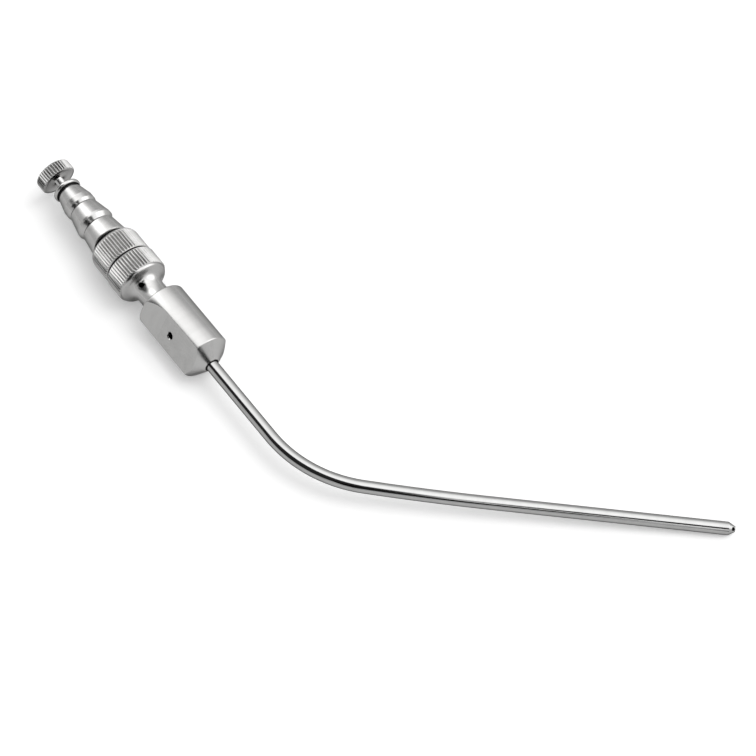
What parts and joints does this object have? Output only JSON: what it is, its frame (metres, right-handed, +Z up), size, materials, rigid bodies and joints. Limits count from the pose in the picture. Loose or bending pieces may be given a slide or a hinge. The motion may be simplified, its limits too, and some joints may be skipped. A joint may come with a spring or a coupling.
{
  "type": "surgical suction tip with cleaning stylet",
  "caption": "Bent steel suction tube on a turned grip with vent holes, a barbed hose connector and a cleaning stylet left in its lumen, lying at rest.",
  "frame": {"origin": "centre of the bounding box, on the plane that the tool lies on", "axes": "+X from the hose end towards the tip, +Y the side that the tube bends to, +Z up"},
  "size_m": [0.1694, 0.0758, 0.0129],
  "materials": {
    "grip_steel": "satin",
    "connector_steel": "satin",
    "tube_steel": "polished",
    "knob_steel": "satin",
    "wire_steel": "polished"
  },
  "bodies": {
    "root": {"grip": "grip_steel", "hose_connector": "connector_steel", "suction_tube": "tube_steel", "stylet_knob": "knob_steel", "stylet_wire": "wire_steel"}
  },
  "joints": []
}
